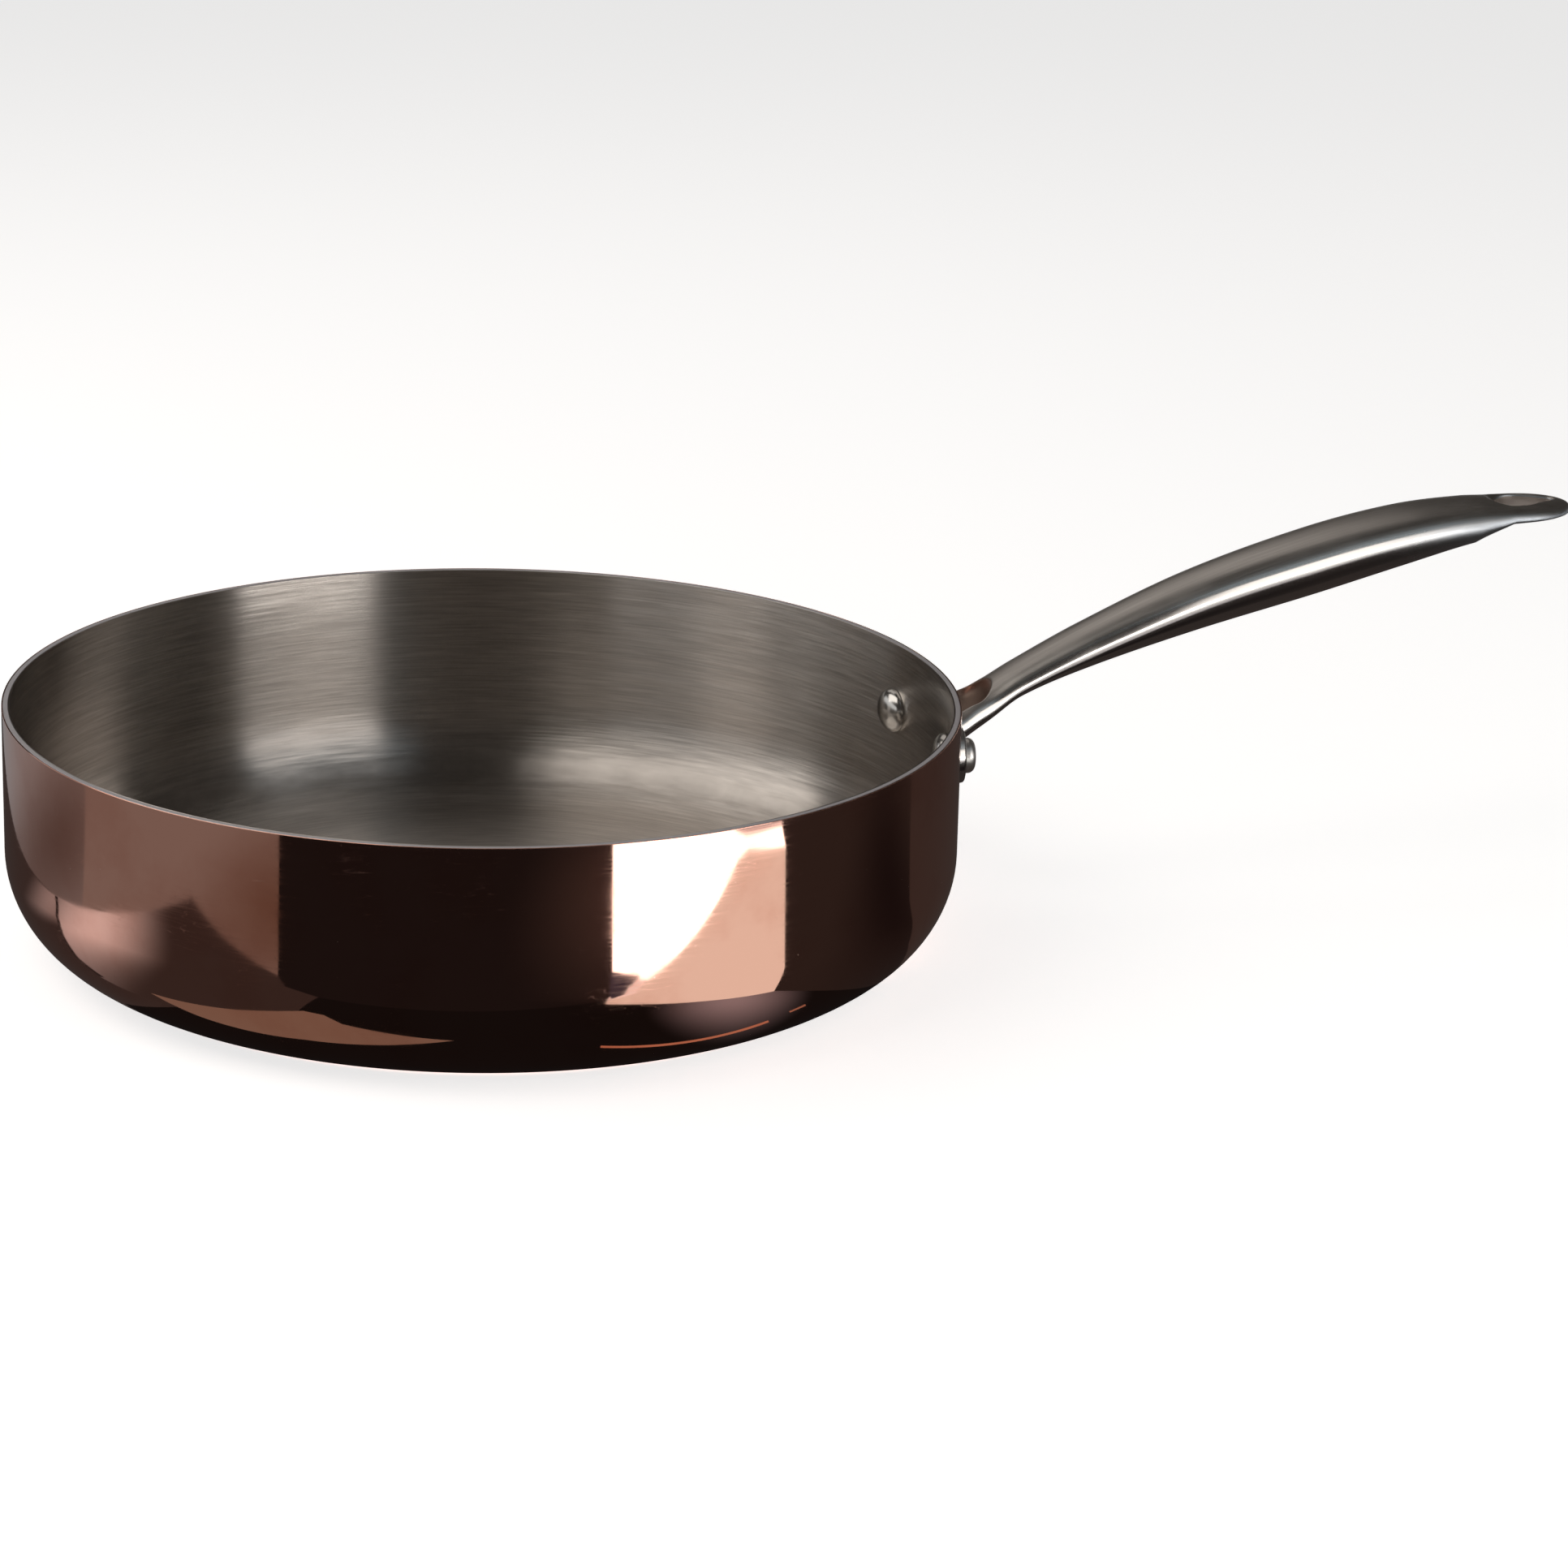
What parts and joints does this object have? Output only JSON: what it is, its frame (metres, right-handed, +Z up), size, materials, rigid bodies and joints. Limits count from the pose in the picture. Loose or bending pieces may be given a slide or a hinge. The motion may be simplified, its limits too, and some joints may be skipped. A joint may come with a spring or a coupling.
{
  "type": "saute pan",
  "caption": "Straight-sided saute pan with a copper outside, brushed steel lining and a long arched cast steel handle riveted to the wall, for frying and browning on a hob.",
  "frame": {"origin": "centre of the base underside, on the vessel's axis", "axes": "+Z up out of the vessel, +X along the handle away from the vessel, +Y to the left of the handle seen from the vessel"},
  "size_m": [0.4952, 0.2848, 0.1178],
  "materials": {
    "polished_copper": "mirror polish",
    "aluminium_edge": "satin ground edge",
    "brushed_lining": "brushed in circles",
    "cast_handle": "satin top, polished sides",
    "polished_rivet": "polished"
  },
  "bodies": {
    "root": {"copper_shell": "polished_copper", "aluminium_core": "aluminium_edge", "steel_lining": "brushed_lining", "handle": "cast_handle", "rivet_left": "polished_rivet", "rivet_right": "polished_rivet"}
  },
  "joints": []
}
